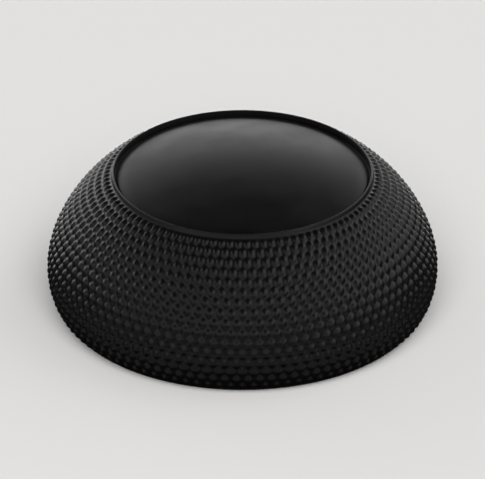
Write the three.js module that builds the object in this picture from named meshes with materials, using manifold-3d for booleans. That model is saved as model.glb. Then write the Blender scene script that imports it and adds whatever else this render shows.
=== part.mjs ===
// Thumb grip: one moulding of silicone rubber that snaps over a round mushroom head.
// A domed crown sits inside a thin raised rim. The skirt swells out below it, covered with
// fine studs, and turns in again to a lip that hooks under the head.
// Millimetres, +Z up, origin at the centre of the flat ring that the grip stands on.

import * as THREE from 'three';
import { mergeVertices, toCreasedNormals } from 'three/addons/utils/BufferGeometryUtils.js';
import Module from 'manifold-3d';

const wasm = await Module();
wasm.setup();

// The head that the grip snaps over
const HEAD_DIAMETER = 18.8;
const HEAD_SHOULDER_HEIGHT = 2.75; // from its widest circle up to the crest round its dish
const HEAD_CREST_DIAMETER = 14.4;
const HEAD_DISH_DEPTH = 0.6;
const DISH_FLAT = 0.65; // share of the crest's radius over which the dish is about flat
const DISH_BRINK = 0.8; // share of it where the dish's side bends up to the crest
const STRETCH = 0.6; // the socket is this much smaller across than the head

// The lip below the head's widest circle
const LIP_DEPTH = 2.15; // from the widest circle down to the seat
const LIP_REACH = 0.9; // how far the mouth draws in under the head
const LIP_LAND = 0.6; // straight stretch of the mouth, above the seat
const LIP_THICKNESS = 1.15;
const LIP_FILLET = 0.3;
const SEAT_FILLET = 0.2; // outer edge of the seat ring
const FILLET_SHARE = 1 / 3; // most of the lip's thickness that one of its fillets may take

// The skirt
const SKIRT_WALL = 0.85; // at the widest circle, under the studs
const SKIRT_TURN_IN = 0.45; // share of the lip's depth where the skirt's lower curve turns in
const FLANK_RISE = 0.34; // share of the skirt's height before its flank leaves the vertical
const SHOULDER_REACH = 0.59; // share of the way from the rim to the flank that the shoulder spans
const SHOULDER_SLOPE = 0.69; // fall of the shoulder at the rim, per unit outwards

// The studs on the skirt, in rows that are each half a stud round from the next
const STUD_SPACING = 0.6; // along a row, where the skirt is widest
const STUD_ROW_SPACING = 0.53; // measured along the skirt
const STUD_HEIGHT = 0.15;
const PLAIN_BAND = 0.3; // from the first and last rows to the ends of the skirt

// The crown
const CROWN_THICKNESS = 2.29; // from the socket's ceiling to the floor inside the rim
const RIM_DIAMETER = 13.2; // inside the rim
const RIM_LAND = 0.08; // flat top of the rim
const RIM_HEIGHT = 0.41; // above the floor inside it
const RIM_STEP = 0.22; // above the skirt outside it
const RIM_DRAFT = 0.06; // how far its outside leans out over that step
const DOME_RISE = 1; // above the floor inside the rim
const DOME_FOOT = 0.15; // upright edge round the dome's foot
const DOME_GAP = 0.15; // groove between the dome's foot and the rim

// Fineness
const CROWN_SEGMENTS = 64;
const DOME_STEPS = 5;
const SOCKET_STEPS = 4; // for each of its curves
const FILLET_STEPS = 2;
const OVERCUT = 1; // how far a cutter runs past the face that it opens
const CREASE_ANGLE = Math.PI / 8; // edges sharper than this are shaded as edges

const socketRadius = (HEAD_DIAMETER - STRETCH) / 2;
const mouthRadius = socketRadius - LIP_REACH;
const seatRadius = mouthRadius + LIP_THICKNESS;
const skirtRadius = socketRadius + SKIRT_WALL;
const crestRadius = HEAD_CREST_DIAMETER / 2;
const rimRadius = RIM_DIAMETER / 2;
const studsRound = Math.round((2 * Math.PI * skirtRadius) / STUD_SPACING);

const widestZ = LIP_DEPTH;
const ceilingZ = widestZ + HEAD_SHOULDER_HEIGHT;
const floorZ = ceilingZ + CROWN_THICKNESS;
const rimZ = floorZ + RIM_HEIGHT;
const apexZ = floorZ + DOME_RISE;

const point = (radius, height) => new THREE.Vector2(radius, height);

// Joins points and curves into one run, dropping each point that repeats the last
function profile(...pieces) {
  const run = [];
  for (const piece of pieces) {
    const points = piece.isCurve ? piece.getPoints(piece.steps) : [piece];
    for (const next of points) {
      if (run.length === 0 || run.at(-1).distanceTo(next) > 1e-6) {
        run.push(next);
      }
    }
  }
  return run;
}

function curved(curve, steps) {
  return Object.assign(curve, { isCurve: true, steps });
}

// Rounds a corner between two points with a quadratic curve
function rounded(from, corner, to, steps) {
  return curved(new THREE.QuadraticBezierCurve(from, corner, to), steps);
}

// Spins a profile about +Z into a solid. The matrix stands the lathe's own axis, +Y, upright.
const UPRIGHT = new THREE.Matrix4().set(1, 0, 0, 0, 0, 0, -1, 0, 0, 1, 0, 0, 0, 0, 0, 1);

function spun(points, segments) {
  return toSolid(new THREE.LatheGeometry(points, segments).applyMatrix4(UPRIGHT));
}

function toSolid(geometry) {
  geometry.deleteAttribute('normal');
  geometry.deleteAttribute('uv');
  const merged = mergeVertices(geometry);
  const mesh = new wasm.Mesh({
    numProp: 3,
    vertProperties: new Float32Array(merged.attributes.position.array),
    triVerts: new Uint32Array(merged.index.array),
  });
  return new wasm.Manifold(mesh);
}

function toGeometry(solid) {
  const mesh = solid.getMesh();
  const geometry = new THREE.BufferGeometry();
  geometry.setAttribute('position', new THREE.BufferAttribute(mesh.vertProperties, mesh.numProp));
  geometry.setIndex(new THREE.BufferAttribute(mesh.triVerts, 1));
  return toCreasedNormals(geometry, CREASE_ANGLE);
}

// Outside of the skirt, under its studs, from the seat's fillet up to the rim's foot
function skirtCurve(seatEdge, rimFoot) {
  const widest = point(skirtRadius, widestZ);
  const turnIn = point(skirtRadius, widestZ * SKIRT_TURN_IN);
  const flankTop = point(skirtRadius, widestZ + (rimFoot.y - widestZ) * FLANK_RISE);
  const shoulderRun = (skirtRadius - rimFoot.x) * SHOULDER_REACH;
  const shoulder = point(rimFoot.x + shoulderRun, rimFoot.y - shoulderRun * SHOULDER_SLOPE);
  const curve = new THREE.CurvePath();
  curve.add(new THREE.QuadraticBezierCurve(seatEdge, turnIn, widest));
  curve.add(new THREE.CubicBezierCurve(widest, flankTop, shoulder, rimFoot));
  return curve;
}

// The skirt as a solid, before its socket is cut. It is spun with two columns of vertices to
// each stud, and every other vertex of its rows is then raised along its normal.
function studdedSkirt() {
  const seatFillet = Math.min(SEAT_FILLET, LIP_THICKNESS * FILLET_SHARE);
  const seatEdge = point(seatRadius, seatFillet);
  const rimEdge = point(rimRadius + RIM_LAND, rimZ);
  const rimFoot = point(rimEdge.x + RIM_DRAFT, rimZ - RIM_STEP);
  const curve = skirtCurve(seatEdge, rimFoot);
  const length = curve.getLength();
  const studded = length - 2 * PLAIN_BAND;
  const strips = Math.round(studded / STUD_ROW_SPACING);
  const rows = [];
  for (let row = 0; row <= strips; row += 1) {
    rows.push(curve.getPoint((PLAIN_BAND + (studded * row) / strips) / length));
  }
  const foot = profile(
    point(0, 0),
    rounded(point(seatRadius - seatFillet, 0), point(seatRadius, 0), seatEdge, FILLET_STEPS),
  );
  const points = [...foot, ...rows, rimFoot, rimEdge, point(0, rimZ)];
  const net = new THREE.LatheGeometry(points, 2 * studsRound);

  const isStud = (vertex) => {
    const column = Math.floor(vertex / points.length);
    const row = (vertex % points.length) - foot.length;
    return row >= 0 && row <= strips && (column + row) % 2 === 0;
  };
  raise(net, isStud, STUD_HEIGHT);
  foldAwayFrom(net, isStud);
  return toSolid(net.applyMatrix4(UPRIGHT));
}

// Moves the chosen vertices out along their normals
function raise(net, isChosen, height) {
  const { position, normal } = net.attributes;
  const place = new THREE.Vector3();
  const outwards = new THREE.Vector3();
  for (let vertex = 0; vertex < position.count; vertex += 1) {
    if (isChosen(vertex)) {
      outwards.fromBufferAttribute(normal, vertex);
      place.fromBufferAttribute(position, vertex).addScaledVector(outwards, height);
      position.setXYZ(vertex, place.x, place.y, place.z);
    }
  }
}

// A lathe's squares are pairs of triangles, (a, b, d) and (c, d, b). Where b or d is chosen the
// square is folded from a to c instead, so that each stud is a point with four even sides.
function foldAwayFrom(net, isChosen) {
  const corners = net.index.array;
  const perSquare = 6;
  for (let start = 0; start < corners.length; start += perSquare) {
    const [a, b, d, c] = corners.slice(start, start + perSquare);
    if (isChosen(b) || isChosen(d)) {
      corners.set([a, b, c, c, d, a], start);
    }
  }
}

// The space inside: mouth, undercut, and a ceiling that bulges down into the head's dish
function socketProfile() {
  const lipFillet = Math.min(LIP_FILLET, LIP_THICKNESS * FILLET_SHARE);
  const lip = rounded(
    point(mouthRadius + lipFillet, 0),
    point(mouthRadius, 0),
    point(mouthRadius, lipFillet),
    FILLET_STEPS,
  );
  const undercut = rounded(
    point(mouthRadius, LIP_LAND),
    point(socketRadius, (LIP_LAND + widestZ) / 2),
    point(socketRadius, widestZ),
    SOCKET_STEPS,
  );
  const shoulder = new THREE.CubicBezierCurve(
    point(socketRadius, widestZ),
    point(socketRadius, (widestZ + ceilingZ) / 2),
    point((crestRadius + socketRadius) / 2, ceilingZ),
    point(crestRadius, ceilingZ),
  );
  const bulge = new THREE.CubicBezierCurve(
    point(crestRadius, ceilingZ),
    point(crestRadius * DISH_BRINK, ceilingZ),
    point(crestRadius * DISH_FLAT, ceilingZ - HEAD_DISH_DEPTH),
    point(0, ceilingZ - HEAD_DISH_DEPTH),
  );
  return profile(
    point(0, -OVERCUT),
    point(mouthRadius + lipFillet, -OVERCUT),
    lip,
    undercut,
    curved(shoulder, SOCKET_STEPS),
    curved(bulge, SOCKET_STEPS),
  );
}

// The space inside the rim, above its floor
function recessProfile() {
  const topZ = rimZ + OVERCUT;
  return [point(0, floorZ), point(rimRadius, floorZ), point(rimRadius, topZ), point(0, topZ)];
}

// A shallow dome on an upright foot, rooted below the floor inside the rim
function domeProfile() {
  const domeRadius = rimRadius - DOME_GAP;
  const rise = DOME_RISE - DOME_FOOT;
  const sphereRadius = (domeRadius ** 2 + rise ** 2) / (2 * rise);
  const halfAngle = Math.asin(domeRadius / sphereRadius);
  const top = Math.PI / 2;
  const rootZ = floorZ - CROWN_THICKNESS / 2;
  const cap = new THREE.EllipseCurve(
    0,
    apexZ - sphereRadius,
    sphereRadius,
    sphereRadius,
    top - halfAngle,
    top,
  );
  return profile(point(0, rootZ), point(domeRadius, rootZ), curved(cap, DOME_STEPS));
}

function thumbGrip() {
  const skirt = studdedSkirt();
  const recess = spun(recessProfile(), CROWN_SEGMENTS);
  const dome = spun(domeProfile(), CROWN_SEGMENTS);
  const socket = spun(socketProfile(), CROWN_SEGMENTS);
  return skirt.subtract(recess).add(dome).subtract(socket);
}

const silicone = new THREE.MeshStandardMaterial({ color: 0x1c1b1c, roughness: 0.5, metalness: 0 });

const grip = new THREE.Mesh(toGeometry(thumbGrip()), silicone);
grip.name = 'thumb_grip';

const group = new THREE.Group();
group.add(grip);

export default group;
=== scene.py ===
"""A thumb grip of moulded silicone rubber, standing on a pale floor in soft studio light.

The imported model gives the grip's place and outer size. This script replaces its plain solid
with a finer mesh of the same form, in which every stud is a small round dome, and gives the
rubber its finish. Sizes of the grip are in millimetres until they reach the mesh.
"""

import logging
import math
from dataclasses import dataclass
from enum import Enum
from functools import cached_property

import bmesh
import bpy
from mathutils import Matrix, Vector
from mathutils.geometry import interpolate_bezier


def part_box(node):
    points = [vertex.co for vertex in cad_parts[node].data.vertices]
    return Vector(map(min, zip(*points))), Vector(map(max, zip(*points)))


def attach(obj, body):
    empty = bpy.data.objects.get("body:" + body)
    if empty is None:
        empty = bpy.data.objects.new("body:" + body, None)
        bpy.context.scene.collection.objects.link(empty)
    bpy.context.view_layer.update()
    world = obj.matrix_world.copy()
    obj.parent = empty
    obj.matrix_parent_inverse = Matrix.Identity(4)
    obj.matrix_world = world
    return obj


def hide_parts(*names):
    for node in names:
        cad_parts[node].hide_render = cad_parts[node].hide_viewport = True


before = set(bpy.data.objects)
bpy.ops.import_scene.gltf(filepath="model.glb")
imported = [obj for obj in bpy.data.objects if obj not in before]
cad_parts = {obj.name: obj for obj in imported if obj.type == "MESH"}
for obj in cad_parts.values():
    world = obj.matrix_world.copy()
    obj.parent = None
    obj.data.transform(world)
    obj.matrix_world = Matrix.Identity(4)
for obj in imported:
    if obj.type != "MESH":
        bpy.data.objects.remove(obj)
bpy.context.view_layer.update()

MM = 0.001
WELD = 0.001 * MM  # vertices nearer to each other than this are one
NODE = "thumb_grip"

log = logging.getLogger(NODE)


def linear(hex_colour: str) -> tuple[float, float, float, float]:
    """Turns an sRGB hex colour into the linear colour that a shader takes.

    Args:
        hex_colour: Six hex digits after a hash sign.

    Returns:
        Red, green, blue and alpha, each from 0 to 1.
    """
    channels = [int(hex_colour[start:start + 2], 16) / 255 for start in (1, 3, 5)]
    red, green, blue = (
        c / 12.92 if c <= 0.04045 else ((c + 0.055) / 1.055) ** 2.4 for c in channels
    )
    return red, green, blue, 1.0


def add_node(
    tree: bpy.types.NodeTree, kind: str, settings: dict | None = None, **inputs,
) -> bpy.types.Node:
    """Adds a shader node, sets it up and links it.

    Args:
        tree: The node tree that gets the node.
        kind: The node's type, such as ShaderNodeBump.
        settings: Values for the node's own properties, by name.
        **inputs: Values or output sockets for its inputs. A name is the input's name in lower
            case with underscores, or in followed by its number where names repeat.

    Returns:
        The new node.
    """
    node = tree.nodes.new(kind)
    for name, value in (settings or {}).items():
        setattr(node, name, value)
    by_name = {socket.name.lower().replace(" ", "_"): socket for socket in reversed(node.inputs)}
    by_name.update({f"in{number}": socket for number, socket in enumerate(node.inputs)})
    for name, value in inputs.items():
        if isinstance(value, bpy.types.NodeSocket):
            tree.links.new(value, by_name[name])
        else:
            by_name[name].default_value = value
    return node


class Zone(Enum):
    """A stretch of the grip's surface with a finish of its own; the value is its material index."""

    SOCKET = 0
    SKIRT = 1
    CROWN = 2


@dataclass(frozen=True)
class SiliconeFinish:
    """Liquid silicone rubber, moulded in a steel tool: near black, with a soft satin gloss.

    The tool's spark-eroded face leaves a fine grain on the rubber, which spreads each highlight
    into a haze. The grain is drawn about twice as coarse as the real one, which would be too
    fine to show. The rubber's gloss and tone also drift a little from place to place, which
    keeps its wide faces from looking flat.
    """

    name: str
    roughness: float
    roughness_drift: float = 0.04
    colour: str = "#171717"
    lightest: float = 1.25  # how much lighter than the colour its palest places are
    mottle_mm: float = 1.6
    mottle_detail: float = 3.0
    mottle_span: tuple[float, float] = (0.3, 0.7)  # most of the noise lies between these
    grain_mm: float = 0.09
    grain_detail: float = 2.0
    grain_depth_mm: float = 0.004
    ior: float = 1.41

    def material(self) -> bpy.types.Material:
        """Builds the finish as a material.

        Returns:
            The new material.
        """
        material = bpy.data.materials.new(self.name)
        material.use_nodes = True
        tree = material.node_tree
        tree.nodes.clear()
        place = add_node(tree, "ShaderNodeTexCoord").outputs["Object"]
        mottle = add_node(
            tree, "ShaderNodeTexNoise", vector=place, scale=1 / (self.mottle_mm * MM),
            detail=self.mottle_detail,
        ).outputs["Fac"]
        grain = add_node(
            tree, "ShaderNodeTexNoise", vector=place, scale=1 / (self.grain_mm * MM),
            detail=self.grain_detail,
        ).outputs["Fac"]
        low, high = self.mottle_span
        roughness = add_node(
            tree, "ShaderNodeMapRange", value=mottle, from_min=low, from_max=high,
            to_min=self.roughness - self.roughness_drift,
            to_max=self.roughness + self.roughness_drift,
        ).outputs["Result"]
        dark = linear(self.colour)
        light = tuple(self.lightest * channel for channel in dark[:3]) + (1.0,)
        colour = add_node(
            tree, "ShaderNodeMix", {"data_type": "RGBA"}, factor=mottle, in6=dark, in7=light,
        ).outputs[2]
        relief = add_node(
            tree, "ShaderNodeBump", height=grain, strength=1.0, distance=self.grain_depth_mm * MM,
        ).outputs["Normal"]
        shader = add_node(
            tree, "ShaderNodeBsdfPrincipled", base_color=colour, roughness=roughness,
            normal=relief, ior=self.ior,
        ).outputs["BSDF"]
        add_node(tree, "ShaderNodeOutputMaterial", surface=shader)
        return material


@dataclass(frozen=True)
class StudPattern:
    """Round studs in rows round the skirt, each row half a stud round from the next.

    Lengths are in millimetres.
    """

    spacing: float = 0.6  # along a row, where the skirt is widest
    row_spacing: float = 0.53  # measured along the skirt
    height: float = 0.15
    radius: float = 0.25
    fill: float = 0.46  # share of the spacing in its row that a stud's radius may take
    fullness: float = 0.7  # 0.5 is a half ball, 1 a flatter dome with a softer foot
    saddle: float = 0.5  # share of the form that runs on, corner to corner, into the next studs
    columns_per_stud: int = 6
    rings_per_row: int = 6

    def count_round(self, widest_radius: float) -> int:
        """Counts the studs in a row.

        Args:
            widest_radius: Radius of the skirt under its studs where it is widest.

        Returns:
            The number of studs, the same in every row.
        """
        return round(2 * math.pi * widest_radius / self.spacing)

    def rise(
        self, half_spacings: float, row: float, beyond: float, pitch: float, row_pitch: float,
    ) -> float:
        """Gives how far the surface stands out at a place on the skirt.

        Args:
            half_spacings: Place round the grip from its front, in halves of the studs' spacing.
            row: Place along the skirt, in rows.
            beyond: How far the place lies past the first or the last row, in rows.
            pitch: The studs' spacing round the grip at this row.
            row_pitch: The spacing of the rows.

        Returns:
            The height over the plain skirt.
        """
        radius = min(self.radius, self.fill * pitch)
        nearest = 0.0
        for stud_row in (math.floor(row), math.floor(row) + 1):
            centre = 2 * round((half_spacings - stud_row) / 2) + stud_row
            across = (half_spacings - centre) * pitch / 2
            along = (row - stud_row) * row_pitch
            nearest = max(nearest, 1 - (across ** 2 + along ** 2) / radius ** 2)
        dome = nearest ** self.fullness
        wave = (1 + math.cos(math.pi * half_spacings) * math.cos(math.pi * row)) / 2
        wave *= max(0.0, 1 - 2 * beyond)
        return self.height * ((1 - self.saddle) * dome + self.saddle * wave)


@dataclass
class Run:
    """A stretch of the grip's outline in one finish, as points of radius and height.

    A studded stretch also has each point's place along the skirt, in rows of studs.
    """

    zone: Zone
    points: list[Vector]
    rows: list[float] | None = None


def curve(*handles: tuple[float, float] | Vector, steps: int) -> list[Vector]:
    """Gives points along a quadratic or cubic curve.

    Args:
        *handles: Three or four control points, as radius and height.
        steps: How many stretches the curve is cut into.

    Returns:
        The points, with both ends.
    """
    corners = [Vector(handle) for handle in handles]
    if len(corners) == 3:
        start, corner, end = corners
        corners = [start, start.lerp(corner, 2 / 3), end.lerp(corner, 2 / 3), end]
    return interpolate_bezier(*corners, steps + 1)


def round_corners(corners: list[Vector], cut: float, steps: int) -> list[Vector]:
    """Rounds the inner corners of a line.

    Args:
        corners: The line's points.
        cut: How far from a corner its rounding starts.
        steps: How many stretches each rounding is cut into.

    Returns:
        The rounded line's points, with both ends.
    """
    points = [corners[0]]
    for before, corner, after in zip(corners, corners[1:], corners[2:]):
        start = corner + (before - corner).normalized() * cut
        end = corner + (after - corner).normalized() * cut
        points += curve(start, corner, end, steps=steps)
    return points + [corners[-1]]


@dataclass
class ThumbGrip:
    """The grip: crown, rim, studded skirt, lip and socket in one moulding.

    All lengths are in millimetres. The outer radius over the studs and the height of the
    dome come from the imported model.
    """

    outer_radius: float
    height: float
    studs: StudPattern = StudPattern()
    wall: float = 0.85
    lip_depth: float = 2.15
    lip_reach: float = 0.9
    lip_land: float = 0.6
    lip_thickness: float = 1.15
    lip_fillet: float = 0.3
    seat_fillet: float = 0.2
    turn_in: float = 0.45
    shoulder_height: float = 2.75
    crest_radius: float = 7.2
    dish_depth: float = 0.6
    dish_flat: float = 0.65
    dish_brink: float = 0.8
    flank_rise: float = 0.34
    shoulder_reach: float = 0.59
    shoulder_slope: float = 0.69
    plain_band: float = 0.3
    rim_radius: float = 6.6
    rim_land: float = 0.08
    rim_height: float = 0.41
    rim_step: float = 0.22
    rim_draft: float = 0.06
    dome_rise: float = 1.0
    dome_foot: float = 0.15
    dome_gap: float = 0.15
    edge_cut: float = 0.035  # how far from the crown's edges their rounding starts
    dish_steps: int = 6
    shoulder_steps: int = 7
    undercut_steps: int = 5
    fillet_steps: int = 4
    edge_steps: int = 2
    dome_steps: int = 10
    turn_in_steps: int = 200  # the skirt's own line is fine, because its rings are set on it
    flank_steps: int = 600
    approach_steps: int = 12  # of the flank's, that give its slope at the rim's foot
    doublings: int = 3

    @property
    def skirt_radius(self) -> float:
        """Radius of the skirt under its studs where it is widest."""
        return self.outer_radius - self.studs.height

    @property
    def socket_radius(self) -> float:
        """Radius of the socket where it is widest."""
        return self.skirt_radius - self.wall

    @property
    def mouth_radius(self) -> float:
        """Radius of the socket's mouth."""
        return self.socket_radius - self.lip_reach

    @property
    def floor(self) -> float:
        """Height of the groove's floor inside the rim."""
        return self.height - self.dome_rise

    @property
    def rim_edge(self) -> Vector:
        """Outer edge of the rim's top."""
        return Vector((self.rim_radius + self.rim_land, self.floor + self.rim_height))

    @property
    def rim_foot(self) -> Vector:
        """Where the rim stands on the skirt."""
        return self.rim_edge + Vector((self.rim_draft, -self.rim_step))

    @property
    def seat_edge(self) -> Vector:
        """Where the seat's fillet meets the skirt."""
        return Vector((self.mouth_radius + self.lip_thickness, self.seat_fillet))

    def socket_run(self) -> Run:
        """Gives the inside, from the middle of the ceiling down to the seat ring."""
        socket, mouth, crest = self.socket_radius, self.mouth_radius, self.crest_radius
        ceiling = self.lip_depth + self.shoulder_height
        low = ceiling - self.dish_depth
        dish = curve(
            (0, low), (crest * self.dish_flat, low), (crest * self.dish_brink, ceiling),
            (crest, ceiling), steps=self.dish_steps,
        )
        shoulder = curve(
            (crest, ceiling), ((crest + socket) / 2, ceiling),
            (socket, (self.lip_depth + ceiling) / 2), (socket, self.lip_depth),
            steps=self.shoulder_steps,
        )
        undercut = curve(
            (socket, self.lip_depth), (socket, (self.lip_land + self.lip_depth) / 2),
            (mouth, self.lip_land), steps=self.undercut_steps,
        )
        lip = curve(
            (mouth, self.lip_fillet), (mouth, 0), (mouth + self.lip_fillet, 0),
            steps=self.fillet_steps,
        )
        return Run(Zone.SOCKET, dish + shoulder[1:] + undercut[1:] + lip)

    def seat_run(self) -> Run:
        """Gives the rounded outer edge of the seat ring."""
        edge = self.seat_edge
        start = Vector((edge.x - self.seat_fillet, 0))
        return Run(Zone.SKIRT, curve(start, (edge.x, 0), edge, steps=self.fillet_steps)[:-1])

    @cached_property
    def skirt_line(self) -> list[Vector]:
        """The skirt's outside under its studs, in fine steps from the seat up to the rim."""
        skirt, foot, widest = self.skirt_radius, self.rim_foot, self.lip_depth
        run = (skirt - foot.x) * self.shoulder_reach
        lower = curve(
            self.seat_edge, (skirt, widest * self.turn_in), (skirt, widest),
            steps=self.turn_in_steps,
        )
        upper = curve(
            (skirt, widest), (skirt, widest + (foot.y - widest) * self.flank_rise),
            (foot.x + run, foot.y - run * self.shoulder_slope), foot, steps=self.flank_steps,
        )
        return lower + upper[1:]

    @cached_property
    def skirt_lengths(self) -> list[float]:
        """Distance along the skirt of each point of its line."""
        lengths = [0.0]
        for start, end in zip(self.skirt_line, self.skirt_line[1:]):
            lengths.append(lengths[-1] + (end - start).length)
        return lengths

    @property
    def strips(self) -> int:
        """How many strips lie between the first and the last row of studs."""
        return round((self.skirt_lengths[-1] - 2 * self.plain_band) / self.studs.row_spacing)

    @property
    def row_pitch(self) -> float:
        """Distance between two rows of studs, once they are spread evenly."""
        return (self.skirt_lengths[-1] - 2 * self.plain_band) / self.strips

    def skirt_run(self) -> Run:
        """Gives the skirt's rings, which keep step with its rows of studs."""
        line, lengths = self.skirt_line, self.skirt_lengths
        per_row = self.studs.rings_per_row
        points, rows, nearest = [line[0]], [-1.0], 0
        for ring in range(-per_row // 2, self.strips * per_row + per_row // 2):
            row = ring / per_row
            target = self.plain_band + row * self.row_pitch
            while lengths[nearest + 1] < target:
                nearest += 1
            share = (target - lengths[nearest]) / (lengths[nearest + 1] - lengths[nearest])
            points.append(line[nearest].lerp(line[nearest + 1], share))
            rows.append(row)
        return Run(Zone.SKIRT, points, rows)

    def crown_run(self) -> Run:
        """Gives the rim, the groove and the dome, up to the dome's middle."""
        floor, rim, inner = self.floor, self.rim_edge, self.rim_radius
        dome = inner - self.dome_gap
        rise = self.dome_rise - self.dome_foot
        sphere = (dome ** 2 + rise ** 2) / (2 * rise)
        centre = self.height - sphere
        half_angle = math.asin(dome / sphere)
        angles = [half_angle * (1 - step / self.dome_steps) for step in range(self.dome_steps + 1)]
        cap = [
            Vector((sphere * math.sin(angle), centre + sphere * math.cos(angle)))
            for angle in angles
        ]
        corners = [
            self.skirt_line[-self.approach_steps], self.rim_foot, rim, Vector((inner, rim.y)),
            Vector((inner, floor)), Vector((dome, floor)), cap[0], cap[1],
        ]
        edge = round_corners(corners, self.edge_cut, self.edge_steps)
        return Run(Zone.CROWN, edge[1:] + cap[2:])

    def mesh(self) -> bpy.types.Mesh:
        """Spins the outline into a closed mesh and raises the studs.

        One sector is spun and then doubled until it is the whole turn, which is quicker than
        spinning all of it.

        Returns:
            The mesh in metres, with a material index for each zone.
        """
        shell = bmesh.new()
        zone_layer = shell.verts.layers.int.new("zone")
        row_layer = shell.verts.layers.float.new("row")
        last = None
        for run in (self.socket_run(), self.seat_run(), self.skirt_run(), self.crown_run()):
            rows = run.rows or [-1.0] * len(run.points)
            for point, row in zip(run.points, rows):
                vertex = shell.verts.new((0, -point.x * MM, point.y * MM))
                vertex[zone_layer] = run.zone.value
                vertex[row_layer] = row
                if last is not None:
                    shell.edges.new((last, vertex))
                last = vertex
        columns = self.studs.count_round(self.skirt_radius) * self.studs.columns_per_stud
        sectors = 2 ** self.doublings
        sector = 2 * math.pi / sectors
        bmesh.ops.spin(
            shell, geom=shell.verts[:] + shell.edges[:], cent=(0, 0, 0), axis=(0, 0, 1),
            dvec=(0, 0, 0), angle=sector, steps=columns // sectors, use_merge=False,
            use_duplicate=False,
        )
        for doubling in range(self.doublings):
            everything = shell.verts[:] + shell.edges[:] + shell.faces[:]
            copied = bmesh.ops.duplicate(shell, geom=everything)["geom"]
            turned = [item for item in copied if isinstance(item, bmesh.types.BMVert)]
            turn = Matrix.Rotation(sector * 2 ** doubling, 3, "Z")
            bmesh.ops.rotate(shell, verts=turned, cent=(0, 0, 0), matrix=turn)
            bmesh.ops.remove_doubles(shell, verts=shell.verts, dist=WELD)
        bmesh.ops.recalc_face_normals(shell, faces=shell.faces)
        self.raise_studs(shell, row_layer)
        for face in shell.faces:
            face.material_index = min(vertex[zone_layer] for vertex in face.verts)
            face.smooth = True
        mesh = bpy.data.meshes.new(f"{NODE}_fine")
        shell.to_mesh(mesh)
        shell.free()
        return mesh

    def raise_studs(self, shell: bmesh.types.BMesh, row_layer: bmesh.types.BMLayerItem) -> None:
        """Moves the skirt's vertices out along their normals by the stud pattern.

        Args:
            shell: The spun grip.
            row_layer: For each vertex its place along the skirt in rows, or -1 off the skirt.
        """
        shell.normal_update()
        studs_round = self.studs.count_round(self.skirt_radius)
        strips, row_pitch = self.strips, self.row_pitch
        moves = []
        for vertex in shell.verts:
            row = vertex[row_layer]
            if row > -1:
                x, y, _ = vertex.co
                half_spacings = math.atan2(x, -y) * studs_round / math.pi
                pitch = 2 * math.pi * math.hypot(x, y) / MM / studs_round
                beyond = max(0.0, -row, row - strips)
                rise = self.studs.rise(half_spacings, row, beyond, pitch, row_pitch)
                moves.append((vertex, vertex.normal * rise * MM))
        for vertex, move in moves:
            vertex.co += move

    def build(self) -> bpy.types.Object:
        """Makes the grip's object, gives each zone its finish and sets it in the frame.

        Returns:
            The finished piece.
        """
        mesh = self.mesh()
        finishes = {
            # Even and soft inside, with no studs to catch the light
            Zone.SOCKET: SiliconeFinish("silicone rubber, polished core", roughness=0.4),
            # A glint on each stud, brightest where the skirt turns away
            Zone.SKIRT: SiliconeFinish("silicone rubber, moulded studs", roughness=0.33),
            # One broad, soft sheen that fades from the dome's far edge to its near one
            Zone.CROWN: SiliconeFinish("silicone rubber, moulded satin", roughness=0.38),
        }
        for zone in Zone:
            mesh.materials.append(finishes[zone].material())
        grip = bpy.data.objects.new(f"{NODE}_fine", mesh)
        bpy.context.scene.collection.objects.link(grip)
        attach(grip, "root")
        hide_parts(NODE)
        return grip


@dataclass(frozen=True)
class SoftBox:
    """A soft-edged patch of light on the studio's surround. Angles are in degrees."""

    azimuth: float  # of its middle, clockwise seen from above, 0 straight behind the grip
    half_width: float
    elevation: float  # of its middle, over the floor
    half_height: float
    level: float
    edge: float = 8.0  # half the width of its soft edge

    def fade(
        self, tree: bpy.types.NodeTree, distance: bpy.types.NodeSocket, half: float, level: float,
    ) -> bpy.types.NodeSocket:
        """Fades a level to nothing across the box's soft edge.

        Args:
            tree: The surround's node tree.
            distance: Angle from the box's middle, in radians.
            half: Half the box's size along that angle.
            level: The level in the box's middle.

        Returns:
            The faded level.
        """
        return add_node(
            tree, "ShaderNodeMapRange", {"interpolation_type": "SMOOTHSTEP"}, value=distance,
            from_min=math.radians(half - self.edge), from_max=math.radians(half + self.edge),
            to_min=level, to_max=0.0,
        ).outputs["Result"]

    def light(
        self, tree: bpy.types.NodeTree, azimuth: bpy.types.NodeSocket,
        elevation: bpy.types.NodeSocket,
    ) -> bpy.types.NodeSocket:
        """Adds the box to the surround.

        Args:
            tree: The surround's node tree.
            azimuth: Azimuth of the place that is looked at, in radians.
            elevation: Its elevation, in radians.

        Returns:
            The box's light at that place.
        """
        turned = add_node(
            tree, "ShaderNodeMath", {"operation": "SUBTRACT"}, in0=azimuth,
            in1=math.radians(self.azimuth),
        ).outputs["Value"]
        aside = add_node(
            tree, "ShaderNodeMath", {"operation": "PINGPONG"}, in0=turned, in1=math.pi,
        ).outputs["Value"]
        raised = add_node(
            tree, "ShaderNodeMath", {"operation": "SUBTRACT"}, in0=elevation,
            in1=math.radians(self.elevation),
        ).outputs["Value"]
        above = add_node(
            tree, "ShaderNodeMath", {"operation": "ABSOLUTE"}, in0=raised,
        ).outputs["Value"]
        return add_node(
            tree, "ShaderNodeMath", {"operation": "MULTIPLY"},
            in0=self.fade(tree, aside, self.half_width, self.level),
            in1=self.fade(tree, above, self.half_height, 1.0),
        ).outputs["Value"]


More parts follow.
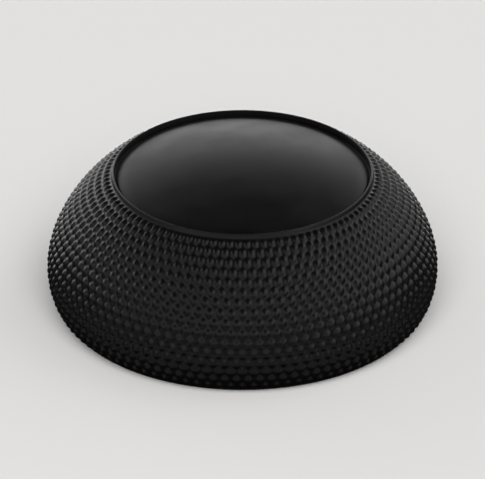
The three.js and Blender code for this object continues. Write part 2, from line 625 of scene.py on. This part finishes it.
@dataclass
class Studio:
    """A pale floor, a dark room with soft boxes low round the grip, and the camera."""

    elevation: float = 29.2  # degrees that the camera looks down
    lens: float = 600.0  # long, so that near and far edges keep one scale
    sensor: float = 36.0
    width_mm: float = 25.0  # seen across the picture at the grip
    aim_mm: float = 3.6  # height of the point that the camera looks at
    clip_m: tuple[float, float] = (0.01, 20.0)
    floor_colour: str = "#E4E3E2"
    floor_roughness: float = 0.9
    floor_half_m: float = 3.0
    floor_gap_mm: float = 0.02  # keeps the floor clear of the seat ring's face
    lamp_place_m: tuple[float, float, float] = (0.0, -0.8, 0.9)
    lamp_size_m: float = 1.2
    lamp_watts: float = 14.0
    boxes: tuple[SoftBox, ...] = (
        SoftBox(azimuth=-14, half_width=38, elevation=9, half_height=9, level=2.0),
        SoftBox(azimuth=-44, half_width=28, elevation=18, half_height=13, level=1.0),
        # The next three are low strips behind, which draw a thin bright edge on the shoulder
        SoftBox(azimuth=-24, half_width=8, elevation=-12, half_height=4, level=4.3, edge=3.0),
        SoftBox(azimuth=0, half_width=16, elevation=-12, half_height=4, level=9.0, edge=3.0),
        SoftBox(azimuth=24, half_width=8, elevation=-12, half_height=4, level=3.0, edge=3.0),
        SoftBox(azimuth=-95, half_width=42, elevation=25, half_height=22, level=0.47),
        SoftBox(azimuth=38, half_width=18, elevation=18, half_height=13, level=1.0),
        SoftBox(azimuth=92, half_width=42, elevation=36, half_height=25, level=1.02),
        SoftBox(azimuth=180, half_width=55, elevation=20, half_height=22, level=0.55),
        SoftBox(azimuth=180, half_width=100, elevation=-32, half_height=9, level=0.42, edge=6.0),
    )

    def floor(self) -> bpy.types.Object:
        """Makes the floor.

        The grip neither mirrors it nor takes light from it, and it lets the light of the low
        boxes through, so the grip's tones come from the boxes alone.

        Returns:
            The floor.
        """
        plane = bmesh.new()
        bmesh.ops.create_grid(plane, x_segments=1, y_segments=1, size=self.floor_half_m)
        mesh = bpy.data.meshes.new("floor")
        plane.to_mesh(mesh)
        plane.free()
        # Matt and nearly white, so that it shows a soft contact shadow and no highlight
        material = bpy.data.materials.new("pale matt card")
        material.use_nodes = True
        shader = material.node_tree.nodes["Principled BSDF"]
        shader.inputs["Base Color"].default_value = linear(self.floor_colour)
        shader.inputs["Roughness"].default_value = self.floor_roughness
        mesh.materials.append(material)
        floor = bpy.data.objects.new("floor", mesh)
        bpy.context.scene.collection.objects.link(floor)
        floor.location.z = -self.floor_gap_mm * MM
        floor.visible_diffuse = False
        floor.visible_glossy = False
        floor.visible_shadow = False
        return floor

    def surround(self) -> None:
        """Lights the room with the soft boxes."""
        world = bpy.data.worlds.new("studio")
        world.use_nodes = True
        tree = world.node_tree
        tree.nodes.clear()
        direction = add_node(tree, "ShaderNodeTexCoord").outputs["Generated"]
        axes = add_node(tree, "ShaderNodeSeparateXYZ", vector=direction).outputs
        azimuth = add_node(
            tree, "ShaderNodeMath", {"operation": "ARCTAN2"}, in0=axes["X"], in1=axes["Y"],
        ).outputs["Value"]
        elevation = add_node(
            tree, "ShaderNodeMath", {"operation": "ARCSINE"}, in0=axes["Z"],
        ).outputs["Value"]
        level = 0.0
        for box in self.boxes:
            light = box.light(tree, azimuth, elevation)
            level = add_node(
                tree, "ShaderNodeMath", {"operation": "ADD"}, in0=light, in1=level,
            ).outputs["Value"]
        room = add_node(tree, "ShaderNodeBackground", color=(1, 1, 1, 1), strength=level)
        add_node(tree, "ShaderNodeOutputWorld", surface=room.outputs["Background"])
        bpy.context.scene.world = world

    def floor_lamp(self, floor: bpy.types.Object) -> None:
        """Hangs a wide lamp in front that lights the floor alone, as a flagged lamp would.

        Args:
            floor: The floor that it lights.
        """
        lamp = bpy.data.lights.new("floor lamp", "AREA")
        lamp.shape = "DISK"
        lamp.size = self.lamp_size_m
        lamp.energy = self.lamp_watts
        holder = bpy.data.objects.new("floor lamp", lamp)
        holder.location = self.lamp_place_m
        holder.rotation_euler = Vector(holder.location).to_track_quat("Z", "Y").to_euler()
        bpy.context.scene.collection.objects.link(holder)
        lit = bpy.data.collections.new("lit by the floor lamp")
        lit.objects.link(floor)
        holder.light_linking.receiver_collection = lit

    def camera(self) -> None:
        """Sets the camera in front of the grip, looking down at the photograph's angle."""
        data = bpy.data.cameras.new("camera")
        data.lens = self.lens
        data.sensor_width = self.sensor
        distance = self.width_mm * MM * self.lens / self.sensor
        angle = math.radians(self.elevation)
        back = Vector((0, -math.cos(angle), math.sin(angle)))
        camera = bpy.data.objects.new("camera", data)
        camera.location = Vector((0, 0, self.aim_mm * MM)) + back * distance
        camera.rotation_euler = (math.radians(90) - angle, 0, 0)
        data.clip_start, data.clip_end = self.clip_m
        bpy.context.scene.collection.objects.link(camera)
        bpy.context.scene.camera = camera

    def build(self) -> None:
        """Sets up floor, light, camera and the picture's tone."""
        floor = self.floor()
        self.surround()
        self.floor_lamp(floor)
        self.camera()
        bpy.context.scene.view_settings.view_transform = "Standard"


def main() -> None:
    """Builds the grip and its studio, and reports the piece."""
    logging.basicConfig(level=logging.INFO, format="%(name)s: %(message)s")
    low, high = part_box(NODE)
    grip = ThumbGrip(outer_radius=high[0] / MM, height=high[2] / MM).build()
    log.info("%s: %d faces", grip.name, len(grip.data.polygons))
    Studio().build()


if __name__ == "__main__":
    main()
